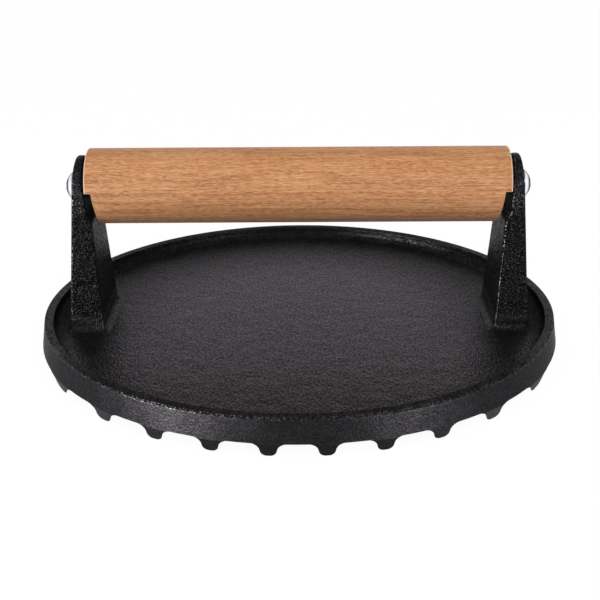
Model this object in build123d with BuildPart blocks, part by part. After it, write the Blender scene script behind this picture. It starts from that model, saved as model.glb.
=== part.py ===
"""Round burger press: a ribbed cast plate with two cast posts that hold a wooden grip.

The grip lies along X, the front faces -Y and Z points up. The origin is in the middle of the
underside, at the level of the rib tips, which is where the press stands. Sizes are in millimetres.
"""
from build123d import *
import os
from math import asin, atan2, cos, hypot, radians, sin, tan

# Dish: the round plate and the low wall around it
rim_radius = 90.0
wall_flare = 1.2
rim_width = 3.0
rim_outer_round = 0.8
rim_inner_round = 0.5
recess_depth = 4.5
recess_fillet = 3.0
plate_thickness = 3.5

# Ribs on the underside, the outermost of them a margin inside the rim
rib_count = 10
rib_margin = 12.4
rib_height = 4.6
rib_tip_width = 4.2
rib_root_width = 6.2
rib_tip_round = 2.1
rib_root_fillet = 2.7

# Parting line, where the press is widest, and the draft of the rib ends below it
parting_drop = 0.3
rib_end_draft = 18.5

# Spare metal round and under the blank, which goes when the grooves are cut
groove_overcut = 1.0

# Wooden grip, its ends cut back below the middle to clear the posts
grip_diameter = 26.0
grip_end_round = 0.8
finger_gap = 35.3
notch_depth = 2.4
notch_rise = 0.7
notch_slant = 6.5

# Cast posts close inside the rim, each with a thinner round-topped tab beside the grip's end
post_rim_gap = 1.43
grip_end_gap = 0.5
tab_thickness = 4.1
tab_radius = 10.6
post_foot_depth = 31.6
post_draft = 3.75
shoulder_drop = 9.8
shoulder_step = 1.6
shoulder_rise = 2.5
post_edge_round = 0.9
post_foot_fillet = 2.6

# Screws
screw_diameter = 5.0
screw_length = 16.0
head_diameter = 10.0
head_height = 4.0
head_edge_height = 1.4
screw_hole_clearance = 0.25
seat_clearance = 0.2
seat_depth = 0.1

# Tie rod inside the grip, which the screws pull on
tie_rod_diameter = 8.0
tie_rod_chamfer = 0.5
tie_rod_clearance = 0.15
tie_rod_end_gap = 0.1
thread_clearance = 0.05
tap_runout = 3.0

# Levels above the rib tips
underside_z = rib_height
plate_top_z = underside_z + plate_thickness
rim_top_z = plate_top_z + recess_depth
grip_radius = grip_diameter / 2
grip_bottom_z = plate_top_z + finger_gap
grip_axis_z = grip_bottom_z + grip_radius
tab_top_z = grip_axis_z + tab_radius
shoulder_z = grip_axis_z - shoulder_drop
shoulder_top_z = shoulder_z + shoulder_rise
shelf_z = grip_axis_z + notch_rise

# Outside of the blank, and the ribs that are left in it, spread evenly across the rim
parting_z = underside_z - parting_drop
parting_radius = rim_radius + wall_flare
blank_bottom_radius = parting_radius - (parting_z + groove_overcut) * tan(radians(rib_end_draft))
rib_pitch = 2 * (rim_radius - rib_margin) / (rib_count - 1)

# Faces of a post, given by their distance from the middle of the grip
draft_slope = tan(radians(post_draft))
post_height = grip_axis_z - plate_top_z
post_foot_x = rim_radius - rim_width - recess_fillet - post_rim_gap - post_foot_fillet
grip_end_x = post_foot_x - post_height * draft_slope - tab_thickness - grip_end_gap

# Lean of a post's front and back faces, and where they run into the tab's round top
post_foot_to_axis = hypot(post_foot_depth / 2, post_height)
post_side_lean = atan2(post_foot_depth / 2, post_height) - asin(tab_radius / post_foot_to_axis)
tab_top_half_depth = tab_radius * cos(post_side_lean)
tab_top_start_z = grip_axis_z + tab_radius * sin(post_side_lean)


def tab_inner_x(z):
    """Inner face of the tab, which leans away from the grip's end as it rises."""
    return grip_end_x + grip_end_gap + (z - grip_axis_z) * draft_slope


def post_inner_x(z):
    """Inner face below the shoulder, parallel to the tab's."""
    return tab_inner_x(z) - shoulder_step


def post_outer_x(z):
    """Outer face, which is one drafted plane from the foot to the top of the tab."""
    return post_foot_x - (z - plate_top_z) * draft_slope


# Radii of the screws and the tie rod, and their places along the grip's axis
head_radius = head_diameter / 2
seat_radius = head_radius + seat_clearance
seat_x = post_outer_x(grip_axis_z + seat_radius) - seat_depth
screw_tip_x = seat_x - screw_length
tie_rod_radius = tie_rod_diameter / 2
tie_rod_end_x = tab_inner_x(grip_axis_z - tie_rod_radius) - tie_rod_end_gap
tap_depth = tie_rod_end_x - screw_tip_x + tap_runout


def square_to_grip(x):
    """Planes square to the grip's axis, one at each end, at a distance x and facing outward."""
    return [Plane(origin=(side * x, 0, grip_axis_z), z_dir=(side, 0, 0)) for side in (-1, 1)]


os.makedirs("parts", exist_ok=True)

# Right post: its outline from the front, cut by its outline from the side
with BuildPart() as post:
    with BuildSketch(Plane.XZ) as post_front:
        with BuildLine():
            Polyline(
                (post_inner_x(plate_top_z), plate_top_z),
                (post_inner_x(shoulder_z), shoulder_z),
                (tab_inner_x(shoulder_top_z), shoulder_top_z),
                (tab_inner_x(tab_top_z), tab_top_z),
                (post_outer_x(tab_top_z), tab_top_z),
                (post_foot_x, plate_top_z),
                close=True,
            )
        make_face()
    extrude(amount=post_foot_depth / 2, both=True)
    with BuildSketch(Plane.YZ) as post_side:
        with BuildLine():
            Polyline(
                (-tab_top_half_depth, tab_top_start_z),
                (-post_foot_depth / 2, plate_top_z),
                (post_foot_depth / 2, plate_top_z),
                (tab_top_half_depth, tab_top_start_z),
            )
            ThreePointArc(
                (tab_top_half_depth, tab_top_start_z),
                (0, tab_top_z),
                (-tab_top_half_depth, tab_top_start_z),
            )
        make_face()
    extrude(amount=post_foot_x, mode=Mode.INTERSECT)
    foot_outline = post.faces().sort_by(Axis.Z)[0].edges()
    fillet(post.edges() - foot_outline, radius=post_edge_round)

# Casting: dish, ribs and both posts in one piece of iron
with BuildPart() as cast_body:
    with BuildSketch(Plane.XZ) as dish_section:
        with BuildLine():
            Polyline(
                (0, -groove_overcut),
                (blank_bottom_radius, -groove_overcut),
                (parting_radius, parting_z),
                (rim_radius, rim_top_z),
                (rim_radius - rim_width, rim_top_z),
                (rim_radius - rim_width, plate_top_z),
                (0, plate_top_z),
                close=True,
            )
        make_face()
        recess_corner = dish_section.vertices().group_by(Axis.Y)[-2].sort_by(Axis.X)[-1]
        inner_edge, outer_edge = dish_section.vertices().group_by(Axis.Y)[-1].sort_by(Axis.X)
        fillet(recess_corner, radius=recess_fillet)
        fillet(inner_edge, radius=rim_inner_round)
        fillet(outer_edge, radius=rim_outer_round)
    revolve(axis=Axis.Z)

    with BuildSketch(Plane.XZ) as grooves:
        with Locations((0, underside_z)):
            Rectangle(
                2 * (parting_radius + groove_overcut),
                rib_height + 2 * groove_overcut,
                align=(Align.CENTER, Align.MAX),
            )
        with BuildLine():
            Polyline(
                (-rib_root_width / 2, underside_z),
                (-rib_tip_width / 2, 0),
                (rib_tip_width / 2, 0),
                (rib_root_width / 2, underside_z),
                close=True,
            )
        rib = make_face(mode=Mode.PRIVATE)
        with GridLocations(rib_pitch, 0, rib_count, 1):
            add(rib, mode=Mode.SUBTRACT)
        rib_tips = grooves.vertices().group_by(Axis.Y)[1]
        fillet(rib_tips, radius=rib_tip_round)
        rib_roots = grooves.vertices().group_by(Axis.Y)[-1].sort_by(Axis.X)[1:-1]
        fillet(rib_roots, radius=rib_root_fillet)
    extrude(amount=parting_radius + groove_overcut, both=True, mode=Mode.SUBTRACT)

    add(post.part)
    add(mirror(post.part, about=Plane.YZ, mode=Mode.PRIVATE))

    plate_top = cast_body.faces().filter_by(Plane.XY).group_by(Axis.Z)[-2][0]
    post_feet = [edge for foot in plate_top.inner_wires() for edge in foot.edges()]
    fillet(post_feet, radius=post_foot_fillet)

    with BuildSketch(*square_to_grip(0)) as screw_holes:
        Circle(screw_diameter / 2 + screw_hole_clearance)
    extrude(amount=post_foot_x, mode=Mode.SUBTRACT)
    with BuildSketch(*square_to_grip(seat_x)) as head_seats:
        Circle(seat_radius)
    extrude(amount=head_height, mode=Mode.SUBTRACT)
cast_body.part.label = "cast_body"
export_step(cast_body.part, "parts/cast_body.step")

# Grip: a turned wooden rod, bored right through, with a notch under each end
with BuildPart() as grip:
    with BuildSketch(*square_to_grip(0)) as grip_section:
        Circle(grip_radius)
    extrude(amount=grip_end_x)
    fillet(grip.edges().group_by(Axis.X)[0], radius=grip_end_round)
    fillet(grip.edges().group_by(Axis.X)[-1], radius=grip_end_round)
    notch_slant_run = (shelf_z - grip_bottom_z) * tan(radians(notch_slant))
    with BuildSketch(Plane.XZ) as notches:
        with BuildLine():
            Polyline(
                (grip_end_x, shelf_z),
                (grip_end_x - notch_depth, shelf_z),
                (grip_end_x - notch_depth - notch_slant_run, grip_bottom_z),
                (grip_end_x, grip_bottom_z),
                close=True,
            )
        make_face()
        mirror(about=Plane.YZ)
    extrude(amount=grip_radius, both=True, mode=Mode.SUBTRACT)
    with BuildSketch(*square_to_grip(0)) as bore:
        Circle(tie_rod_radius + tie_rod_clearance)
    extrude(amount=grip_end_x, mode=Mode.SUBTRACT)
grip.part.label = "grip"
export_step(grip.part, "parts/grip.step")

# Tie rod: a steel rod, tapped at both ends
with BuildPart() as tie_rod:
    with BuildSketch(*square_to_grip(0)) as rod_section:
        Circle(tie_rod_radius)
    extrude(amount=tie_rod_end_x)
    chamfer(tie_rod.edges().group_by(Axis.X)[0], length=tie_rod_chamfer)
    chamfer(tie_rod.edges().group_by(Axis.X)[-1], length=tie_rod_chamfer)
    with BuildSketch(*square_to_grip(tie_rod_end_x)) as tapped_holes:
        Circle(screw_diameter / 2 + thread_clearance)
    extrude(amount=-tap_depth, mode=Mode.SUBTRACT)
tie_rod.part.label = "tie_rod"
export_step(tie_rod.part, "parts/tie_rod.step")

# Screws: a round-topped head on a plain shank, turned about the grip's axis
with BuildPart() as screw_right:
    with BuildSketch(Plane.XZ) as screw_section:
        dome_height = head_height - head_edge_height
        with BuildLine():
            head_top = (seat_x + head_height, grip_axis_z)
            head_edge = (seat_x + head_edge_height, grip_axis_z + head_radius)
            Polyline(
                head_top,
                (screw_tip_x, grip_axis_z),
                (screw_tip_x, grip_axis_z + screw_diameter / 2),
                (seat_x, grip_axis_z + screw_diameter / 2),
                (seat_x, grip_axis_z + head_radius),
                head_edge,
            )
            RadiusArc(head_edge, head_top, (head_radius**2 + dome_height**2) / (2 * dome_height))
        make_face()
    revolve(axis=Axis((0, 0, grip_axis_z), (1, 0, 0)))
screw_right.part.label = "screw_right"
export_step(screw_right.part, "parts/screw_right.step")

with BuildPart() as screw_left:
    mirror(screw_right.part, about=Plane.YZ)
screw_left.part.label = "screw_left"
export_step(screw_left.part, "parts/screw_left.step")
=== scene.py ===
"""Looks of the round burger press: iron casting, beech grip, steel fasteners and the studio round them.

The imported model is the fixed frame. The casting and the tie rod keep their solids and get a finish,
and the grip and the screws are modelled here in the same place. Lengths are in metres and angles in
degrees.
"""
import logging
import math
from collections.abc import Callable, Mapping
from dataclasses import dataclass, field
from enum import Enum

import bpy
from mathutils import Matrix, Vector


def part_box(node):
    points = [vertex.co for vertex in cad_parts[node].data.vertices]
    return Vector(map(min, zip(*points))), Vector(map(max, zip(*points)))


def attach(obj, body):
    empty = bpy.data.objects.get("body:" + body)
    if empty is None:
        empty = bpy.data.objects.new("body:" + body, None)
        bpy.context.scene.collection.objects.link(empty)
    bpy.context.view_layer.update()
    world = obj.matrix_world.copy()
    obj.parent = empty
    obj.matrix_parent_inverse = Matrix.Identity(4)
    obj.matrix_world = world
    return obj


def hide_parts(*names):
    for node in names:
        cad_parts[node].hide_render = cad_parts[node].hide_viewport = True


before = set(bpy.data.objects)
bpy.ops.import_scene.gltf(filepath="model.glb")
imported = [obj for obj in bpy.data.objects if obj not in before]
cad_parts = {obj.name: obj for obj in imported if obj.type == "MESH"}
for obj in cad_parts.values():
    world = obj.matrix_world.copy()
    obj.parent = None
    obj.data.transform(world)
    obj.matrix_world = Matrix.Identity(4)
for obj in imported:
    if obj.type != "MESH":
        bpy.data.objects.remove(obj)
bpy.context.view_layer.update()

MM = 0.001
WHITE = (1.0, 1.0, 1.0)

# Sockets of the Mix node for colours, which share their names with those for numbers
MIX_FIRST, MIX_SECOND, MIX_RESULT = 6, 7, 2

# Selecting by place: points this near count as one, and a face points along an axis above this share
NEAR = 0.1 * MM
ALONG = 0.99

Triple = tuple[float, float, float]
Span = tuple[float, float]
log = logging.getLogger("press")


class End(Enum):
    """The two ends of the grip, as the way that each faces along X."""

    LEFT = -1
    RIGHT = 1


class MeshPart(Enum):
    """What is selected in edit mode, by the name that the operators use."""

    EDGE = "EDGE"
    FACE = "FACE"


# Shader writing


@dataclass(frozen=True)
class Value:
    """A number that varies over a surface, from an output socket of a shader.

    Python's operators on it add Math nodes to the shader.
    """

    shader: "Shader"
    socket: bpy.types.NodeSocket

    def math(self, operation: str, *inputs: "Value | float") -> "Value":
        """Adds one Math node that works on these inputs, and returns its result."""
        node = self.shader.node("ShaderNodeMath", {"operation": operation}, dict(enumerate(inputs)))
        return Value(self.shader, node.outputs[0])

    def __add__(self, other: "Value | float") -> "Value":
        """Sum."""
        return self.math("ADD", self, other)

    def __radd__(self, other: float) -> "Value":
        """Sum with a plain number in front."""
        return self.math("ADD", other, self)

    def __sub__(self, other: "Value | float") -> "Value":
        """Difference."""
        return self.math("SUBTRACT", self, other)

    def __rsub__(self, other: float) -> "Value":
        """Difference from a plain number."""
        return self.math("SUBTRACT", other, self)

    def __mul__(self, other: "Value | float") -> "Value":
        """Product."""
        return self.math("MULTIPLY", self, other)

    def __rmul__(self, other: float) -> "Value":
        """Product with a plain number in front."""
        return self.math("MULTIPLY", other, self)

    def __truediv__(self, other: "Value | float") -> "Value":
        """Quotient."""
        return self.math("DIVIDE", self, other)

    def __pow__(self, other: "Value | float") -> "Value":
        """Power."""
        return self.math("POWER", self, other)

    def __neg__(self) -> "Value":
        """The same number with its sign turned."""
        return self.math("MULTIPLY", self, -1.0)

    def size(self) -> "Value":
        """The same number without its sign."""
        return self.math("ABSOLUTE", self)

    def sign(self) -> "Value":
        """Minus one below nought and one above."""
        return self.math("SIGN", self)

    def fraction(self) -> "Value":
        """What is left after the whole number below."""
        return self.math("FRACT", self)

    def swing(self) -> "Value":
        """How far noise lies above its middle, a half."""
        return self - 0.5

    def rising(self, low: float, high: float) -> "Value":
        """A smooth step.

        Args:
            low: where the step leaves nought.
            high: where it reaches one.

        Returns:
            Nought below low, one above high and a smooth rise between.
        """
        node = self.shader.node(
            "ShaderNodeMapRange",
            {"interpolation_type": "SMOOTHSTEP"},
            {"Value": self, "From Min": low, "From Max": high},
        )
        return Value(self.shader, node.outputs["Result"])

    def band(self, rise: Span, fall: Span) -> "Value":
        """A smooth step up over one span and down again over another."""
        return self.rising(*rise) * (1 - self.rising(*fall))

    def blend(self, first: "Input", second: "Input") -> bpy.types.NodeSocket:
        """Mixes two colours, with this number as the second one's share."""
        inputs = {0: self, MIX_FIRST: first, MIX_SECOND: second}
        return self.shader.node("ShaderNodeMix", {"data_type": "RGBA"}, inputs).outputs[MIX_RESULT]

    def ramp(self, stops: Mapping[float, Triple]) -> bpy.types.NodeSocket:
        """Turns this number into a colour.

        Args:
            stops: colours by their places from nought to one, in rising order.

        Returns:
            The colour.
        """
        node = self.shader.node("ShaderNodeValToRGB", inputs={"Fac": self})
        elements = node.color_ramp.elements
        while len(elements) < len(stops):
            elements.new(1.0)
        for element, (position, colour) in zip(elements, stops.items()):
            element.position = position
            element.color = (*colour, 1.0)
        return node.outputs["Color"]

    def bump(self, depth: float) -> bpy.types.NodeSocket:
        """Turns this number into relief of that depth, which changes only the shading."""
        inputs = {"Height": self, "Distance": depth}
        return self.shader.node("ShaderNodeBump", inputs=inputs).outputs["Normal"]


def mixed(first: Value | float, second: Value | float, share: Value | float) -> Value:
    """Goes part of the way from one number to another.

    Args:
        first: the number at a share of nought.
        second: the number at a share of one.
        share: how far to go.

    Returns:
        The number between them.
    """
    return first + (second - first) * share


Input = Value | bpy.types.NodeSocket | float | Triple


@dataclass(frozen=True)
class Grain:
    """A pattern of soft noise: its size along each axis, its finer layers and where it starts."""

    size: Triple
    detail: float = 2.0
    roughness: float = 0.5
    shift: Triple = (0.0, 0.0, 0.0)


@dataclass(frozen=True)
class Place:
    """Where a point of the surface lies in the press's own frame, and how far it faces along X."""

    point: bpy.types.NodeSocket
    x: Value
    y: Value
    z: Value
    facing_x: Value

    def noise(self, grain: Grain) -> Value:
        """Reads soft noise.

        Args:
            grain: the pattern.

        Returns:
            A number from nought to one, mostly near a half.
        """
        node = self.x.shader.node
        point = self.point
        for operation, amount in (("ADD", grain.shift), ("DIVIDE", grain.size)):
            step = node("ShaderNodeVectorMath", {"operation": operation}, {0: point, 1: amount})
            point = step.outputs[0]
        layers = {"Scale": 1.0, "Detail": grain.detail, "Roughness": grain.roughness}
        noise = node("ShaderNodeTexNoise", inputs={"Vector": point} | layers)
        return Value(self.x.shader, noise.outputs["Fac"])


class Shader:
    """The node tree of one material, or of the world."""

    def __init__(self, owner: bpy.types.Material | bpy.types.World) -> None:
        """Starts with an empty tree.

        Args:
            owner: the new material or world that the tree belongs to.
        """
        self.owner = owner
        self.owner.use_nodes = True
        self.tree = self.owner.node_tree
        self.tree.nodes.clear()

    def node(
        self,
        kind: str,
        settings: Mapping[str, object] | None = None,
        inputs: Mapping[str | int, Input] | None = None,
    ) -> bpy.types.Node:
        """Adds a node of any kind.

        Args:
            kind: the node's type.
            settings: its own settings, which are set first.
            inputs: values or links of its sockets, by name or number.

        Returns:
            The node.
        """
        made = self.tree.nodes.new(kind)
        for name, value in (settings or {}).items():
            setattr(made, name, value)
        for name, value in (inputs or {}).items():
            socket = made.inputs[name]
            source = value.socket if isinstance(value, Value) else value
            if isinstance(source, bpy.types.NodeSocket):
                self.tree.links.new(source, socket)
            elif socket.type == "RGBA":
                socket.default_value = (*source, 1.0)
            else:
                socket.default_value = source
        return made

    def place(self) -> Place:
        """Reads the point and the flat face's direction.

        Returns:
            Both, as values of this shader.
        """
        point = self.node("ShaderNodeTexCoord").outputs["Object"]
        spot = self.node("ShaderNodeSeparateXYZ", inputs={0: point})
        normal = self.node("ShaderNodeNewGeometry").outputs["True Normal"]
        facing = self.node("ShaderNodeSeparateXYZ", inputs={0: normal})
        x, y, z = (Value(self, spot.outputs[axis]) for axis in "XYZ")
        return Place(point, x, y, z, Value(self, facing.outputs["X"]))

    def seen(self) -> Value:
        """Tells what is seen from what only lights.

        Returns:
            One for what is seen straight, mirrored or through glass, and nought for the rest.
        """
        path = self.node("ShaderNodeLightPath")
        rays = ("Is Camera Ray", "Is Glossy Ray", "Is Transmission Ray")
        camera, glossy, through = (Value(self, path.outputs[name]) for name in rays)
        return camera + glossy + through

    def finish(self, inputs: Mapping[str | int, Input]) -> bpy.types.Material:
        """Closes the tree with a Principled surface.

        Args:
            inputs: values or links of the surface's sockets.

        Returns:
            The material.
        """
        surface = self.node("ShaderNodeBsdfPrincipled", inputs=inputs)
        self.node("ShaderNodeOutputMaterial", inputs={"Surface": surface.outputs[0]})
        return self.owner


# Finishes


@dataclass(frozen=True)
class Masks:
    """Where a point lies on the casting: each mask is one in its own region and nought outside."""

    post: Value
    inner_face: Value
    open_face: Value
    tab: Value
    crown: Value
    corner: Value
    wall: Value
    bare_wall: Value
    side: Value
    beside_post: Value
    outer_rear: Value
    right_rear: Value
    post_edge: Value
    rim_edge: Value


@dataclass(frozen=True)
class Regions:
    """Where the casting's regions begin, as the two ends of each soft step in the press's own frame.

    The crown is the rim's flat top, the corner is the round one inside the rim, and a tab is a post's
    thin upper end. A facing, an edge's rise and its fall are about how far a face points along X, and
    rim_edge_rest is what stays of the rim's edge where it doesn't face left. The post and rim edges
    carry edge wear with a painted highlight, strongest where they face left.
    """

    post_height: Span = (13 * MM, 15.6 * MM)
    tab_height: Span = (47.6 * MM, 52.6 * MM)
    inner_facing: Span = (0.6, 0.85)
    crown_radius: Span = (86.8 * MM, 87 * MM)
    crown_height: Span = (11.9 * MM, 12.4 * MM)
    corner_radius: Span = (83 * MM, 86 * MM)
    wall_radius: Span = (87.5 * MM, 88.5 * MM)
    side_reach: Span = (45 * MM, 85.5 * MM)
    beside_post_reach: Span = (72 * MM, 82.8 * MM)
    outer_radius: Span = (36 * MM, 81 * MM)
    rear_depth: Span = (-45 * MM, 0.0)
    right_reach: Span = (10 * MM, 40 * MM)
    post_edge_rise: Span = (0.25, 0.45)
    post_edge_fall: Span = (0.8, 0.92)
    post_edge_height: Span = (0.0, 46.6 * MM)
    rim_edge_radius: Span = (89.1 * MM, 89.6 * MM)
    rim_edge_height: Span = (11.5 * MM, 12.1 * MM)
    rim_edge_rise: Span = (0.0, 0.15)
    rim_edge_fall: Span = (0.55, 0.8)
    rim_edge_rest: float = 0.25

    def masks(self, at: Place) -> Masks:
        """Writes the masks into the shader.

        Args:
            at: the point of the surface.

        Returns:
            The masks.
        """
        radius = (at.x * at.x + at.y * at.y) ** 0.5
        reach = at.x.size()
        left = -at.facing_x
        post = at.z.rising(*self.post_height)
        inner_face = post * (left * at.x.sign()).rising(*self.inner_facing)
        crown = radius.rising(*self.crown_radius) * at.z.rising(*self.crown_height)
        wall = radius.rising(*self.wall_radius) * (1 - crown)
        rear = at.y.rising(*self.rear_depth)
        rim_edge = radius.rising(*self.rim_edge_radius) * at.z.rising(*self.rim_edge_height)
        # Edges that face left get edge wear with a painted highlight; the rest of the rim's edge keeps
        # a little
        left_rim = mixed(self.rim_edge_rest, 1.0, left.band(self.rim_edge_rise, self.rim_edge_fall))
        left_edge = left.band(self.post_edge_rise, self.post_edge_fall)
        return Masks(
            post=post,
            inner_face=inner_face,
            open_face=post * (1 - inner_face),
            tab=at.z.rising(*self.tab_height),
            crown=crown,
            corner=radius.rising(*self.corner_radius) * (1 - crown),
            wall=wall,
            bare_wall=wall * (1 - post),
            side=reach.rising(*self.side_reach),
            beside_post=reach.rising(*self.beside_post_reach),
            outer_rear=radius.rising(*self.outer_radius) * rear,
            right_rear=rear * at.x.rising(*self.right_reach),
            post_edge=post * left_edge * at.z.rising(*self.post_edge_height),
            rim_edge=rim_edge * left_rim,
        )


@dataclass(frozen=True)
class Skin:
    """Noise of the iron's skin, and the grains' crests that follow from it."""

    pebble: Value
    grit: Value
    swell: Value
    crest: Value
    post_crest: Value


@dataclass(frozen=True)
class CastIron:
    """Black sand-cast iron: a pebbled skin with painted shade in its hollows, and edge wear with a
    painted highlight where edges face left.

    A metal share is how strongly a region gleams at a flat angle. A gain or a loss is what a region
    adds to the plate's own value or takes from it. A number such as pebble_in_crest is how much of the
    one the other makes up, and limits are the two ends of a soft step.
    """

    colour: Triple = (0.0062, 0.0058, 0.0063)
    pale_colour: Triple = (0.026, 0.0248, 0.0265)
    edge_tint: Triple = (1.0, 0.965, 1.0)
    # Edge wear with a painted highlight, for the edges that face left
    worn_and_highlight_colour: Triple = (0.13, 0.125, 0.13)
    # Near black for the hollows of the posts' skin: painted shade
    hollow_shade_colour: Triple = (0.001, 0.001, 0.001)
    dull_ior: float = 1.02
    regions: Regions = Regions()

    # Patterns, drawn out along Y because the photograph looks at them from low in front
    pebble: Grain = Grain((0.68 * MM, 1.632 * MM, 0.68 * MM), 1.5, 0.55)
    grit: Grain = Grain((0.4 * MM, 0.96 * MM, 0.4 * MM), 1.0)
    swell: Grain = Grain((7 * MM, 7 * MM, 7 * MM))
    pebble_in_crest: float = 0.6
    pebble_in_post_crest: float = 0.3
    crest_limits: Span = (0.38, 0.64)
    post_crest_limits: Span = (0.36, 0.64)

    # Tone between the dark and the pale colour
    swell_in_tone: float = 0.25
    swell_limits: Span = (0.35, 0.7)
    # Painted shade: the posts' inner faces, which face each other, are darker
    inner_face_shade_loss: float = 0.85
    wall_tone: Span = (0.2, 0.46)
    post_tone: float = 0.5
    tab_tone: float = 1.4

    # Painted shade in the skin's hollows, and edge wear with a painted highlight where edges face left
    hollow_shade_share: float = 0.6
    hollow_shade_limits: Span = (0.4, 0.95)
    tab_hollow_shade_loss: float = 0.8
    wear_and_highlight_share: float = 0.85
    wear_and_highlight_limits: Span = (0.5, 0.95)

    # Metal shares, some of which paint sheen and shade by place, as marked below
    plate_metal: float = 0.68
    # Painted shade: the plate gleams less beside the posts and towards the back, for the dark posts and
    # rim mirrored in it
    beside_post_loss: float = 0.8
    outer_rear_loss: float = 0.6
    # Painted shade inside the rim: the round inner corner gleams little
    corner_metal: float = 0.1
    # Painted glints: the inner corner gleams more at the back on the right
    right_rear_gain: float = 2.5
    # Painted shade: towards the left and right the inner corner gleams less
    corner_side_metal: float = 0.04
    crown_metal: float = 0.1
    # Painted sheen: towards the left and right the rim's flat top gleams more
    crown_side_metal: float = 0.35
    wall_metal: float = 0.8
    # Painted shade: towards the left and right the outer wall gleams less
    wall_side_metal: float = 0.2
    post_metal: float = 0.24
    # Up the posts' inner faces the metal share paints shade: low at the foot, higher in the middle,
    # nought under the grip
    inner_foot_metal: float = 0.11
    inner_middle_metal: float = 0.39
    inner_upper_metal: float = 0.234
    inner_middle_height: Span = (12 * MM, 26 * MM)
    inner_upper_height: Span = (28 * MM, 40 * MM)
    inner_top_height: Span = (45.6 * MM, 47.6 * MM)

    # How much the metal share follows the grains
    contrast: float = 0.4
    post_contrast_gain: float = 0.4
    wall_contrast_loss: float = 0.2
    swell_contrast: float = 0.3

    # Relief
    relief: float = 0.55 * MM
    pebble_in_relief: float = 0.75
    coarseness: float = 0.5
    post_coarseness_gain: float = 0.5
    crown_coarseness_loss: float = 0.3
    wall_coarseness_loss: float = 0.36
    waviness: float = 0.5
    wall_waviness_loss: float = 0.35

    # Roughness
    roughness: float = 0.32
    swell_roughness: float = 0.16
    grit_roughness: float = 0.1
    crown_roughness: float = 0.08
    wall_roughness: float = 0.04

    def material(self) -> bpy.types.Material:
        """Builds the material.

        Returns:
            The material.
        """
        shader = Shader(bpy.data.materials.new("black_cast_iron"))
        at = shader.place()
        on = self.regions.masks(at)
        skin = self._skin(at)
        metal = self._metal(at, on) * self._contrast(on, skin)
        return shader.finish(
            {
                "Base Color": self._colour(on, skin),
                "Metallic": metal,
                "Roughness": self._roughness(on, skin),
                "IOR": self.dull_ior,
                "Specular Tint": self.edge_tint,
                "Normal": self._height(on, skin).bump(self.relief),
            }
        )

    def _skin(self, at: Place) -> Skin:
        """Reads the patterns.

        Args:
            at: the point of the surface.

        Returns:
            The patterns and their crests.
        """
        pebble, grit, swell = (at.noise(grain) for grain in (self.pebble, self.grit, self.swell))
        return Skin(
            pebble=pebble,
            grit=grit,
            swell=swell,
            crest=mixed(grit, pebble, self.pebble_in_crest).rising(*self.crest_limits),
            post_crest=mixed(grit, pebble, self.pebble_in_post_crest).rising(*self.post_crest_limits),
        )

    def _colour(self, on: Masks, skin: Skin) -> bpy.types.NodeSocket:
        """Lays the tone, the painted shade in the hollows and the edge wear with its painted highlight
        over each other.

        Args:
            on: where the point lies on the casting.
            skin: the patterns there.

        Returns:
            The colour.
        """
        plate_tone = mixed(skin.crest, skin.swell.rising(*self.swell_limits), self.swell_in_tone)
        # Painted shade on the posts' inner faces
        plate_tone = plate_tone * (1 - self.inner_face_shade_loss * on.inner_face)
        post_tone = skin.post_crest * skin.post_crest * mixed(self.post_tone, self.tab_tone, on.tab)
        tone = mixed(plate_tone, mixed(*self.wall_tone, skin.crest), on.wall)
        tone = mixed(tone, post_tone, on.open_face)
        # Painted shade: the grain's hollows on the posts' open faces go towards near black, less on the
        # tabs
        low_spot = 1 - skin.post_crest.rising(*self.hollow_shade_limits)
        hollow_shade = self.hollow_shade_share * on.open_face * (1 - self.tab_hollow_shade_loss * on.tab) * low_spot
        # Edge wear with a painted highlight on the left-facing edges of the posts and rim
        wear_and_highlight = self.wear_and_highlight_share * skin.crest.rising(*self.wear_and_highlight_limits) * (on.post_edge + on.rim_edge)
        hollow_shaded = hollow_shade.blend(tone.blend(self.colour, self.pale_colour), self.hollow_shade_colour)
        return wear_and_highlight.blend(hollow_shaded, self.worn_and_highlight_colour)

    def _metal(self, at: Place, on: Masks) -> Value:
        """Joins the regions' metal shares, some of which paint sheen and shade by place.

        Args:
            at: the point of the surface.
            on: where it lies on the casting.

        Returns:
            The metal share there, before the grains change it.
        """
        # Painted shade on the plate beside the posts and towards the back
        plate = self.plate_metal * (1 - self.beside_post_loss * on.beside_post)
        plate = plate * (1 - self.outer_rear_loss * on.outer_rear)
        # Painted shade in the inner corner, with painted glints at its right back
        corner = self.corner_metal * (1 + self.right_rear_gain * on.right_rear)
        # Towards the sides: painted sheen on the crown, painted shade on the corner and wall
        corner = mixed(corner, self.corner_side_metal, on.side)
        wall = mixed(self.wall_metal, self.wall_side_metal, on.side)
        crown = mixed(self.crown_metal, self.crown_side_metal, on.side)
        # Painted shade up the posts' inner faces
        inner = self.inner_foot_metal
        for share, height in (
            (self.inner_middle_metal, self.inner_middle_height),
            (self.inner_upper_metal, self.inner_upper_height),
            (0.0, self.inner_top_height),
        ):
            inner = mixed(inner, share, at.z.rising(*height))
        metal = mixed(plate, corner, on.corner)
        metal = mixed(metal, wall, on.wall)
        metal = mixed(metal, crown, on.crown)
        metal = mixed(metal, self.post_metal, on.post)
        return mixed(metal, inner, on.inner_face)

    def _contrast(self, on: Masks, skin: Skin) -> Value:
        """What the metal share is multiplied by, from the grains' crests and the swell.

        Args:
            on: where the point lies on the casting.
            skin: the patterns there.

        Returns:
            A number round one.
        """
        contrast = self.contrast + self.post_contrast_gain * on.post
        contrast = contrast - self.wall_contrast_loss * on.bare_wall
        swelling = self.swell_contrast * skin.swell.swing() * (1 - on.post)
        return 1 + contrast * (2 * skin.crest - 1) + swelling

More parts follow.
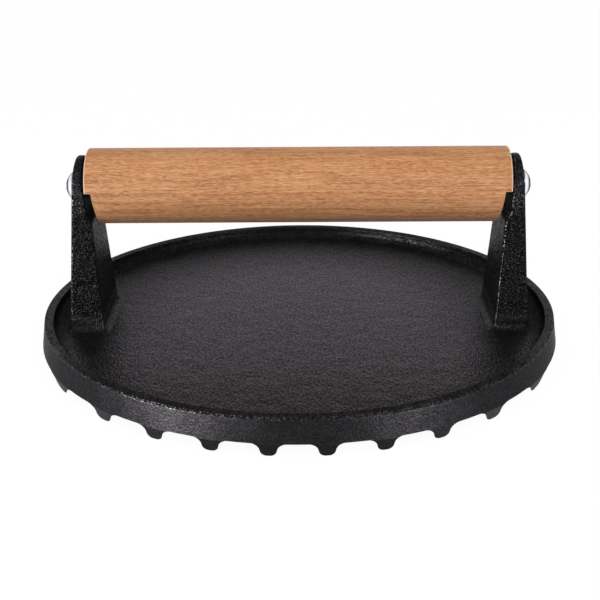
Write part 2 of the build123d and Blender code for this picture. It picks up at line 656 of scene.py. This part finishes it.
    def _roughness(self, on: Masks, skin: Skin) -> Value:
        """Roughness, which changes with the patterns and is higher on the rim.

        Args:
            on: where the point lies on the casting.
            skin: the patterns there.

        Returns:
            The roughness.
        """
        patterns = self.swell_roughness * skin.swell.swing() + self.grit_roughness * skin.grit.swing()
        rim = self.crown_roughness * on.crown + self.wall_roughness * on.wall
        return self.roughness + patterns + rim

    def _height(self, on: Masks, skin: Skin) -> Value:
        """Height of the skin, coarse on the posts and fine on the rim.

        Args:
            on: where the point lies on the casting.
            skin: the patterns there.

        Returns:
            The height, as a share of the relief.
        """
        coarseness = (
            self.coarseness
            + self.post_coarseness_gain * on.open_face
            - self.crown_coarseness_loss * on.crown
            - self.wall_coarseness_loss * on.bare_wall
        )
        waviness = self.waviness - self.wall_waviness_loss * on.bare_wall
        grains = mixed(skin.grit, skin.pebble, self.pebble_in_relief)
        return grains * coarseness + skin.swell * waviness


@dataclass(frozen=True)
class Beech:
    """Sanded, lightly oiled beech whose grain runs along X, with pale flecks and short dark rays."""

    pale: Triple = (0.76, 0.41, 0.2)
    middle: Triple = (0.65, 0.30, 0.132)
    dark: Triple = (0.46, 0.175, 0.066)
    fleck: Triple = (0.84, 0.53, 0.29)
    ray: Triple = (0.27, 0.09, 0.035)
    # Pale colour on the rounded end edges: a painted highlight
    end_edge_highlight: Triple = (0.95, 0.8, 0.62)
    gloss: float = 0.05
    sheen: float = 0.22
    sheen_roughness: float = 0.35

    # Year rings round the tree's heart, which lies along X beside the grip
    ring_width: float = 2.6 * MM
    heart_y: float = 38 * MM
    heart_z: float = 8 * MM
    ring_waver: float = 3.2
    late_wood_rise: Span = (0.45, 0.95)
    late_wood_fall: Span = (0.95, 1.0)

    # Patterns
    drift_grain: Grain = Grain((60 * MM, 9 * MM, 9 * MM))
    streak_grain: Grain = Grain((26 * MM, 0.55 * MM, 0.55 * MM), 3.0, 0.6)
    fibre_grain: Grain = Grain((3 * MM, 0.36 * MM, 0.36 * MM), 2.0, 0.6)
    fleck_grain: Grain = Grain((1.6 * MM, 0.42 * MM, 0.42 * MM), 1.0, 0.4, (0.12, 0.4, 0.3))
    ray_grain: Grain = Grain((2.2 * MM, 0.32 * MM, 0.32 * MM), 1.0, 0.4, (0.31, 0.2, 0.1))
    line_limits: Span = (0.34, 0.66)
    fleck_limits: Span = (0.52, 0.70)
    ray_limits: Span = (0.56, 0.70)
    edge_rise: Span = (0.15, 0.35)
    edge_fall: Span = (0.93, 0.97)

    # Tone from pale to dark, and where the three wood colours lie on it
    streak_tone: float = 0.3
    fibre_tone: float = 0.34
    late_wood_tone: float = 0.18
    drift_tone: float = 0.32
    stops: Triple = (0.16, 0.5, 0.88)
    fleck_share: float = 0.34
    ray_share: float = 0.52
    end_highlight_share: float = 0.7

    # Surface
    roughness: float = 0.5
    fibre_roughness: float = 0.12
    ray_roughness: float = 0.06
    relief: float = 0.03 * MM
    fibre_height: float = 0.7
    streak_height: float = 0.5
    ray_depth: float = 0.5

    def material(self) -> bpy.types.Material:
        """Builds the material.

        Returns:
            The material.
        """
        shader = Shader(bpy.data.materials.new("oiled_beech"))
        at = shader.place()
        drift = at.noise(self.drift_grain)
        streak = at.noise(self.streak_grain)
        fibre = at.noise(self.fibre_grain)
        fleck_mask = at.noise(self.fleck_grain).rising(*self.fleck_limits)
        ray_mask = at.noise(self.ray_grain).rising(*self.ray_limits)
        # Painted highlight round the grip's rounded ends
        end_highlight_mask = at.facing_x.size().band(self.edge_rise, self.edge_fall)
        tone = (
            self.streak_tone * streak.rising(*self.line_limits)
            + self.fibre_tone * fibre.rising(*self.line_limits)
            + self.late_wood_tone * self._late_wood(at, drift)
            + self.drift_tone * drift
        )
        wood = tone.ramp(dict(zip(self.stops, (self.pale, self.middle, self.dark))))
        flecked = (self.fleck_share * fleck_mask).blend(wood, self.fleck)
        rayed = (self.ray_share * ray_mask).blend(flecked, self.ray)
        height = self.fibre_height * fibre + self.streak_height * streak - self.ray_depth * ray_mask
        patterns = self.fibre_roughness * fibre.swing() + self.ray_roughness * ray_mask
        return shader.finish(
            {
                "Base Color": (self.end_highlight_share * end_highlight_mask).blend(rayed, self.end_edge_highlight),
                "Roughness": self.roughness + patterns,
                "Specular IOR Level": self.gloss,
                "Sheen Weight": self.sheen,
                "Sheen Roughness": self.sheen_roughness,
                "Normal": height.bump(self.relief),
            }
        )

    def _late_wood(self, at: Place, drift: Value) -> Value:
        """Draws the year rings.

        Args:
            at: the point of the surface.
            drift: noise that makes the rings waver.

        Returns:
            One in the dark part of each ring and nought in the pale part.
        """
        across = ((at.y - self.heart_y) ** 2.0 + (at.z - self.heart_z) ** 2.0) ** 0.5
        ring = (across / self.ring_width + self.ring_waver * drift).fraction()
        return ring.band(self.late_wood_rise, self.late_wood_fall)


@dataclass(frozen=True)
class BrightPlate:
    """Bright plated steel, slightly uneven from barrel plating, with a painted highlight round the
    dome.
    """

    colour: Triple = (0.21, 0.22, 0.26)
    # White of the painted highlight round the dome
    painted_highlight: Triple = (0.95, 0.95, 1.0)
    edge_tint: Triple = (0.2, 0.2, 0.24)
    highlight_rise: Span = (0.56, 0.62)
    highlight_fall: Span = (0.74, 0.8)
    haze_grain: Grain = Grain((1.6 * MM, 1.6 * MM, 1.6 * MM))
    haze_limits: Span = (0.4, 0.8)
    scratch_grain: Grain = Grain((0.15 * MM, 1.5 * MM, 0.15 * MM), 1.0)
    roughness: float = 0.16
    haze_roughness: float = 0.12
    relief: float = 0.01 * MM
    haze_in_relief: float = 0.6

    def material(self) -> bpy.types.Material:
        """Builds the material.

        Returns:
            The material.
        """
        shader = Shader(bpy.data.materials.new("bright_plated_steel"))
        at = shader.place()
        haze = at.noise(self.haze_grain)
        scratch = at.noise(self.scratch_grain)
        # Painted highlight: a white ring where the dome faces partly along X
        highlight_mask = at.facing_x.size().band(self.highlight_rise, self.highlight_fall)
        return shader.finish(
            {
                "Base Color": highlight_mask.blend(self.colour, self.painted_highlight),
                "Metallic": 1.0,
                "Specular Tint": self.edge_tint,
                "Roughness": self.roughness + self.haze_roughness * haze.rising(*self.haze_limits),
                "Normal": mixed(scratch, haze, self.haze_in_relief).bump(self.relief),
            }
        )


@dataclass(frozen=True)
class TurnedSteel:
    """Zinc-plated steel rod with the fine rings that a lathe leaves."""

    colour: Triple = (0.55, 0.56, 0.58)
    ring_grain: Grain = Grain((0.25 * MM, 9 * MM, 9 * MM), 1.0)
    haze_grain: Grain = Grain((4 * MM, 4 * MM, 4 * MM))
    roughness: float = 0.34
    haze_roughness: float = 0.1
    ring_roughness: float = 0.06
    relief: float = 0.008 * MM

    def material(self) -> bpy.types.Material:
        """Builds the material.

        Returns:
            The material.
        """
        shader = Shader(bpy.data.materials.new("turned_steel"))
        at = shader.place()
        ring = at.noise(self.ring_grain)
        haze = at.noise(self.haze_grain)
        patterns = self.haze_roughness * haze.swing() + self.ring_roughness * ring
        return shader.finish(
            {
                "Base Color": self.colour,
                "Metallic": 1.0,
                "Roughness": self.roughness + patterns,
                "Normal": ring.bump(self.relief),
            }
        )


@dataclass(frozen=True)
class WhiteSweep:
    """White paper under the press: white to the eye and to reflections, with a faint shadow."""

    colour: Triple = (0.82, 0.82, 0.82)
    glow: float = 1.06
    glow_share: float = 0.9

    def material(self) -> bpy.types.Material:
        """Builds the material.

        Returns:
            The material.
        """
        shader = Shader(bpy.data.materials.new("white_sweep"))
        paper = shader.node("ShaderNodeBsdfDiffuse", inputs={"Color": self.colour})
        light = shader.node("ShaderNodeEmission", inputs={"Strength": self.glow})
        parts = {0: self.glow_share * shader.seen(), 1: paper.outputs[0], 2: light.outputs[0]}
        mix = shader.node("ShaderNodeMixShader", inputs=parts)
        shader.node("ShaderNodeOutputMaterial", inputs={"Surface": mix.outputs[0]})
        return shader.owner


# Modelling


def deselect_all() -> None:
    """Leaves nothing selected, in object mode."""
    if bpy.context.object and bpy.context.object.mode != "OBJECT":
        bpy.ops.object.mode_set(mode="OBJECT")
    bpy.ops.object.select_all(action="DESELECT")


def make_active(thing: bpy.types.Object) -> None:
    """Selects one object alone and makes it the active one.

    Args:
        thing: the object.
    """
    deselect_all()
    thing.select_set(True)
    bpy.context.view_layer.objects.active = thing


@dataclass(frozen=True)
class Editing:
    """Edit mode with some edges or faces of an object selected, for as long as a with block lasts.

    What is wanted says yes to an edge's two ends, or to a face's centre and normal.
    """

    thing: bpy.types.Object
    part: MeshPart
    wanted: Callable[[Vector, Vector], bool]

    def __enter__(self) -> None:
        """Selects the wanted edges or faces alone and enters edit mode."""
        make_active(self.thing)
        bpy.ops.object.mode_set(mode="EDIT")
        bpy.ops.mesh.select_mode(type=self.part.value)
        bpy.ops.mesh.select_all(action="DESELECT")
        bpy.ops.object.mode_set(mode="OBJECT")
        mesh = self.thing.data
        if self.part is MeshPart.FACE:
            for face in mesh.polygons:
                face.select = self.wanted(face.center, face.normal)
        else:
            for edge in mesh.edges:
                edge.select = self.wanted(*(mesh.vertices[index].co for index in edge.vertices))
        bpy.ops.object.mode_set(mode="EDIT")

    def __exit__(self, *problem: object) -> None:
        """Goes back to object mode, whatever ended the block."""
        bpy.ops.object.mode_set(mode="OBJECT")


def set_place(thing: bpy.types.Object) -> None:
    """Puts an object's place, turn and scale into its mesh.

    Args:
        thing: the object, which then sits at the origin.
    """
    make_active(thing)
    bpy.ops.object.transform_apply(location=True, rotation=True, scale=True)


def scale_across(share: float) -> None:
    """Scales what is selected towards the Z axis.

    Args:
        share: the new width as a share of the old one.
    """
    bpy.ops.transform.resize(value=(share, share, 1), center_override=(0, 0, 0))


def apply_modifier(thing: bpy.types.Object, kind: str, settings: Mapping[str, object]) -> None:
    """Adds a modifier and applies it.

    Args:
        thing: the object that is changed.
        kind: the modifier's type.
        settings: its settings by name.
    """
    make_active(thing)
    bpy.ops.object.modifier_add(type=kind)
    modifier = thing.modifiers[-1]
    for name, value in settings.items():
        setattr(modifier, name, value)
    bpy.ops.object.modifier_apply(modifier=modifier.name)


def cut_away(thing: bpy.types.Object, cutter: bpy.types.Object) -> None:
    """Cuts one object's shape out of another, and removes it.

    Args:
        thing: the object that keeps the cut.
        cutter: the object that makes it.
    """
    apply_modifier(thing, "BOOLEAN", {"operation": "DIFFERENCE", "solver": "EXACT", "object": cutter})
    bpy.data.objects.remove(cutter)


def round_edges(thing: bpy.types.Object, width: float, segments: int, angle: float) -> None:
    """Rounds an object's sharp edges.

    Args:
        thing: the object.
        width: the rounding's width.
        segments: the number of strips that it is made of.
        angle: the gentlest edge that is rounded.
    """
    settings = {"width": width, "segments": segments, "limit_method": "ANGLE"}
    apply_modifier(thing, "BEVEL", settings | {"angle_limit": math.radians(angle)})


def smooth(thing: bpy.types.Object, angle: float = 32.0, merge: float = 0.002 * MM) -> None:
    """Cleans a mesh, points its faces outwards and shades it smooth across gentle edges.

    Args:
        thing: the object.
        angle: the sharpest edge that is still shaded smooth.
        merge: points that are nearer to each other than this become one.
    """
    make_active(thing)
    bpy.ops.object.mode_set(mode="EDIT")
    bpy.ops.mesh.select_all(action="SELECT")
    bpy.ops.mesh.remove_doubles(threshold=merge)
    bpy.ops.mesh.normals_make_consistent(inside=False)
    bpy.ops.object.mode_set(mode="OBJECT")
    bpy.ops.object.shade_smooth_by_angle(angle=math.radians(angle))


def dress(thing: bpy.types.Object, material: bpy.types.Material) -> None:
    """Gives an object one material.

    Args:
        thing: the object.
        material: the material, in place of any that it has.
    """
    thing.data.materials.clear()
    thing.data.materials.append(material)


def report(thing: bpy.types.Object) -> None:
    """Logs a piece's name, faces, size in millimetres and material.

    Args:
        thing: the finished piece.
    """
    size = " x ".join(f"{side / MM:.1f}" for side in thing.dimensions)
    material = thing.data.materials[0].name
    log.info("%s: %d faces, %s mm, %s", thing.name, len(thing.data.polygons), size, material)


@dataclass
class Casting:
    """The iron casting: plate, rim, ribs and posts. Its solid stays and gets the iron finish."""

    iron: CastIron = field(default_factory=CastIron)

    def build(self) -> list[bpy.types.Object]:
        """Dresses the casting.

        Returns:
            The casting alone.
        """
        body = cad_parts["cast_body"]
        dress(body, self.iron.material())
        return [body]


@dataclass
class TieRod:
    """The steel rod inside the grip. Its solid stays and gets a turned finish."""

    steel: TurnedSteel = field(default_factory=TurnedSteel)

    def build(self) -> list[bpy.types.Object]:
        """Dresses the rod.

        Returns:
            The rod alone.
        """
        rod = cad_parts["tie_rod"]
        dress(rod, self.steel.material())
        return [rod]


@dataclass
class Grip:
    """The wooden grip: a turned rod with rounded ends, bored for the tie rod and notched below."""

    end_round: float = 0.7 * MM
    bore_radius: float = 4.15 * MM
    notch_depth: float = 2.4 * MM
    notch_rise: float = 0.7 * MM
    notch_slant: float = 6.5
    edge_round: float = 0.3 * MM
    sides: int = 128
    wood: Beech = field(default_factory=Beech)

    def __post_init__(self) -> None:
        """Takes the grip's length, radius and height from its solid."""
        low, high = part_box("grip")
        self.end = high.x
        self.radius = (high.z - low.z) / 2
        self.axis_height = (high.z + low.z) / 2

    def build(self) -> list[bpy.types.Object]:
        """Models the grip, dresses it, hangs it on the root body and hides the imported grip.

        Returns:
            The grip alone.
        """
        grip = self._turned_rod()
        self._bore(grip)
        cut_away(grip, self._notch_cutter())
        round_edges(grip, width=self.edge_round, segments=3, angle=35.0)
        smooth(grip)
        dress(grip, self.wood.material())
        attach(grip, "root")
        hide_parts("grip")
        return [grip]

    def _turned_rod(self) -> bpy.types.Object:
        """Makes the plain rod with its two ends rounded.

        Returns:
            The rod.
        """
        deselect_all()
        bpy.ops.mesh.primitive_cylinder_add(
            vertices=self.sides,
            radius=self.radius,
            depth=2 * self.end,
            location=(0, 0, self.axis_height),
            rotation=(0, math.radians(90), 0),
        )
        rod = bpy.context.object
        rod.name = "beech_grip"
        set_place(rod)
        with Editing(rod, MeshPart.EDGE, lambda a, b: abs(a.x - b.x) < NEAR):
            bpy.ops.mesh.bevel(offset=self.end_round, segments=5, affect="EDGES")
        return rod

    def _bore(self, rod: bpy.types.Object) -> None:
        """Bores the rod from end to end.

        Args:
            rod: the turned rod.
        """
        flat_radius = self.radius - self.end_round
        with Editing(rod, MeshPart.FACE, lambda centre, normal: abs(normal.x) > ALONG):
            bpy.ops.mesh.inset(thickness=flat_radius - self.bore_radius, use_boundary=True)
        with Editing(rod, MeshPart.FACE, lambda centre, normal: self._at_radius(0.0, centre)):
            bpy.ops.mesh.delete(type="ONLY_FACE")
        with Editing(rod, MeshPart.EDGE, lambda *ends: self._at_radius(self.bore_radius, *ends)):
            bpy.ops.mesh.bridge_edge_loops()

    def _at_radius(self, radius: float, *points: Vector) -> bool:
        """Says whether all the points lie that far from the grip's axis."""
        away = (math.hypot(point.y, point.z - self.axis_height) for point in points)
        return all(abs(distance - radius) < NEAR for distance in away)

    def _notch_cutter(self) -> bpy.types.Object:
        """Makes the block that cuts both notches, its inner faces slanting in as they go down.

        Returns:
            The cutter, one block at each end of the grip.
        """
        beyond = 2 * MM
        height = self.notch_rise + self.radius + beyond
        depth = self.notch_depth + beyond
        inner = self.end - self.notch_depth
        bottom = self.axis_height + self.notch_rise - height
        deselect_all()
        bpy.ops.mesh.primitive_cube_add(
            size=1,
            location=(inner + depth / 2, 0, bottom + height / 2),
            scale=(depth, 2 * (self.radius + beyond), height),
        )
        cutter = bpy.context.object
        set_place(cutter)
        with Editing(
            cutter,
            MeshPart.EDGE,
            lambda *ends: all(abs(p.x - inner) < NEAR and abs(p.z - bottom) < NEAR for p in ends),
        ):
            slant = height * math.tan(math.radians(self.notch_slant))
            bpy.ops.transform.translate(value=(-slant, 0, 0))
        apply_modifier(cutter, "MIRROR", {"use_axis": (True, False, False)})
        return cutter


@dataclass
class Screws:
    """The two plated screws: a round-topped head with a cross recess, on a plain shank."""

    head_radius: float = 5.0 * MM
    edge_height: float = 1.4 * MM
    head_height: float = 4.0 * MM
    dome_reach: float = 0.95
    shank_radius: float = 2.5 * MM
    tip_chamfer: float = 0.6 * MM
    recess_reach: float = 2.9 * MM
    recess_width: float = 1.25 * MM
    recess_depth: float = 2.4 * MM
    recess_taper: float = 0.45
    recess_turns: tuple[tuple[End, float], ...] = ((End.LEFT, 20.0), (End.RIGHT, 55.0))
    edge_round: float = 0.12 * MM
    sides: int = 64
    rings: int = 9
    plate: BrightPlate = field(default_factory=BrightPlate)

    def build(self) -> list[bpy.types.Object]:
        """Models one screw and lays a copy of it at each end of the grip.

        Returns:
            Both screws.
        """
        model = self._standing_screw()
        dress(model, self.plate.material())
        screws = [self._laid_copy(model, end, turn) for end, turn in self.recess_turns]
        bpy.data.objects.remove(model)
        return screws

    def _standing_screw(self) -> bpy.types.Object:
        """Models the screw upright, the underside of its head at the origin.

        Returns:
            The screw.
        """
        low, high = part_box("screw_left")
        screw = self._head()
        self._shank(screw, high.x - low.x - self.head_height)
        cut_away(screw, self._recess_cutter())
        round_edges(screw, width=self.edge_round, segments=2, angle=40.0)
        return screw

    def _laid_copy(self, model: bpy.types.Object, end: End, turn: float) -> bpy.types.Object:
        """Copies the screw, lays it along the grip's axis, hangs it on the root body and hides the
        imported screw.

        Args:
            model: the upright screw.
            end: the end of the grip that it holds.
            turn: how far its recess is turned.

        Returns:
            The copy.
        """
        node = f"screw_{end.name.lower()}"
        low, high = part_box(node)
        seat = (low.x if end is End.LEFT else high.x) - end.value * self.head_height
        make_active(model)
        bpy.ops.object.duplicate()
        screw = bpy.context.object
        screw.name = f"plated_{node}"
        turned = Matrix.Rotation(math.radians(turn), 4, "Z")
        lay = Matrix.Rotation(math.radians(90 * end.value), 4, "Y")
        screw.matrix_world = Matrix.Translation((seat, 0, (low.z + high.z) / 2)) @ lay @ turned
        set_place(screw)
        smooth(screw)
        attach(screw, "root")
        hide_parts(node)
        return screw

    def _head(self) -> bpy.types.Object:
        """Makes the head, its underside at the origin: a low edge, then rings drawn in over a dome.

        Returns:
            The head.
        """
        deselect_all()
        bpy.ops.mesh.primitive_cylinder_add(
            vertices=self.sides,
            radius=self.head_radius,
            depth=self.edge_height,
            location=(0, 0, self.edge_height / 2),
        )
        head = bpy.context.object
        set_place(head)
        dome = self.head_height - self.edge_height
        ball = (self.head_radius**2 + dome**2) / (2 * dome)
        widest = math.asin(self.head_radius / ball)
        angles = [widest * (1 - self.dome_reach * ring / self.rings) for ring in range(self.rings + 1)]
        with Editing(head, MeshPart.FACE, lambda centre, normal: normal.z > ALONG):
            for before, after in zip(angles, angles[1:]):
                rise = ball * (math.cos(after) - math.cos(before))
                bpy.ops.mesh.extrude_region_move(TRANSFORM_OT_translate={"value": (0, 0, rise)})
                scale_across(math.sin(after) / math.sin(before))
        return head

    def _shank(self, screw: bpy.types.Object, length: float) -> None:
        """Draws the shank out of the head's underside.

        Args:
            screw: the head.
            length: the shank's length.
        """
        with Editing(screw, MeshPart.FACE, lambda centre, normal: normal.z < -ALONG):
            bpy.ops.mesh.inset(thickness=self.head_radius - self.shank_radius)
            for drop in (length - self.tip_chamfer, self.tip_chamfer):
                bpy.ops.mesh.extrude_region_move(TRANSFORM_OT_translate={"value": (0, 0, -drop)})
            scale_across(1 - self.tip_chamfer / self.shank_radius)

    def _recess_cutter(self) -> bpy.types.Object:
        """Makes the cross that cuts the recess: a post with four wings, tapering to its foot.

        Returns:
            The cutter, standing in the head.
        """
        beyond = 1 * MM
        height = self.recess_depth + beyond
        deselect_all()
        bpy.ops.mesh.primitive_cube_add(
            size=1,
            location=(0, 0, self.head_height - self.recess_depth + height / 2),
            scale=(self.recess_width, self.recess_width, height),
        )
        cutter = bpy.context.object
        set_place(cutter)
        with Editing(cutter, MeshPart.FACE, lambda centre, normal: abs(normal.z) < ALONG):
            wing = self.recess_reach - self.recess_width / 2
            bpy.ops.mesh.extrude_faces_move(TRANSFORM_OT_shrink_fatten={"value": wing})
        with Editing(cutter, MeshPart.FACE, lambda centre, normal: normal.z < -ALONG):
            scale_across(self.recess_taper)
        return cutter


# Studio


@dataclass(frozen=True)
class Softbox:
    """One large soft lamp, with its size across and up its face.

    A lamp for glints shows in reflections and adds no other light.
    """

    name: str
    place: Triple
    size: tuple[float, float]
    power: float
    target: Triple = (0.0, 0.0, 30 * MM)
    glints_only: bool = False

    def build(self) -> None:
        """Hangs the lamp."""
        deselect_all()
        bpy.ops.object.light_add(type="AREA", location=self.place)
        lamp = bpy.context.object
        lamp.name = self.name
        lamp.data.shape = "RECTANGLE"
        lamp.data.size, lamp.data.size_y = self.size
        lamp.data.energy = self.power
        lamp.visible_camera = False
        lamp.visible_diffuse = not self.glints_only
        aim = Vector(self.target) - Vector(self.place)
        lamp.rotation_euler = aim.to_track_quat("-Z", "Y").to_euler()


@dataclass(frozen=True)
class Camera:
    """The camera that took the photograph, found from the press's own proportions.

    The lens and the sensor are in millimetres, as Blender has them.
    """

    place: Triple = (3.09 * MM, -380.73 * MM, 164.71 * MM)
    azimuth: float = 0.4163
    elevation: float = 21.6765
    roll: float = -0.4442
    lens: float = 68.185
    sensor: float = 36.0
    clip_start: float = 10 * MM

    def build(self) -> None:
        """Sets up the camera and makes it the scene's own."""
        azimuth, elevation, roll = map(math.radians, (self.azimuth, self.elevation, self.roll))
        level = Vector((math.cos(azimuth), math.sin(azimuth), 0))
        forward = Vector((-math.sin(azimuth), math.cos(azimuth), 0))
        back = Vector((0, 0, math.sin(elevation))) - math.cos(elevation) * forward
        upright = back.cross(level)
        right = math.cos(roll) * level + math.sin(roll) * upright
        up = math.cos(roll) * upright - math.sin(roll) * level
        deselect_all()
        bpy.ops.object.camera_add()
        camera = bpy.context.object
        camera.name = "photo_camera"
        camera.data.lens = self.lens
        camera.data.sensor_width = self.sensor
        camera.data.clip_start = self.clip_start
        turn = Matrix((right, up, back)).transposed().to_4x4()
        camera.matrix_world = Matrix.Translation(self.place) @ turn
        bpy.context.scene.camera = camera


@dataclass
class Studio:
    """Plain white sweep, soft lamps and a pale world."""

    floor_size: float = 8.0
    world_glow: float = 0.4
    sweep: WhiteSweep = field(default_factory=WhiteSweep)
    lamps: tuple[Softbox, ...] = (
        Softbox(
            "key_above_front",
            (0.14, -0.95, 0.75),
            size=(0.9, 0.6),
            power=6.2,
            target=(0.0, 0.0, 50 * MM),
        ),
        Softbox("fill_left", (-0.9, -0.6, 0.2), size=(0.3, 0.5), power=2.2),
        Softbox("glints_left", (-0.735, -0.625, 0.12), size=(0.46, 0.22), power=44.0, glints_only=True),
        Softbox("glints_right", (0.66, -0.66, 0.12), size=(0.46, 0.22), power=18.0, glints_only=True),
    )

    def build(self) -> None:
        """Lays the floor, hangs the lamps and lights the world."""
        deselect_all()
        bpy.ops.mesh.primitive_plane_add(size=self.floor_size)
        floor = bpy.context.object
        floor.name = "floor"
        dress(floor, self.sweep.material())
        for lamp in self.lamps:
            lamp.build()
        self._light_world()
        bpy.context.scene.view_settings.view_transform = "Standard"

    def _light_world(self) -> None:
        """Makes the world white to the eye and to reflections, and dimmer as a source of light."""
        shader = Shader(bpy.data.worlds.new("pale_studio"))
        bpy.context.scene.world = shader.owner
        light = {"Color": WHITE, "Strength": mixed(self.world_glow, 1.0, shader.seen())}
        background = shader.node("ShaderNodeBackground", inputs=light)
        shader.node("ShaderNodeOutputWorld", inputs={"Surface": background.outputs[0]})


def main() -> None:
    """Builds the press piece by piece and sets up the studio."""
    logging.basicConfig(level=logging.INFO, format="%(name)s: %(message)s")
    for assembly in (Casting(), TieRod(), Grip(), Screws()):
        for piece in assembly.build():
            report(piece)
    Studio().build()
    Camera().build()
    deselect_all()


if __name__ == "__main__":
    main()
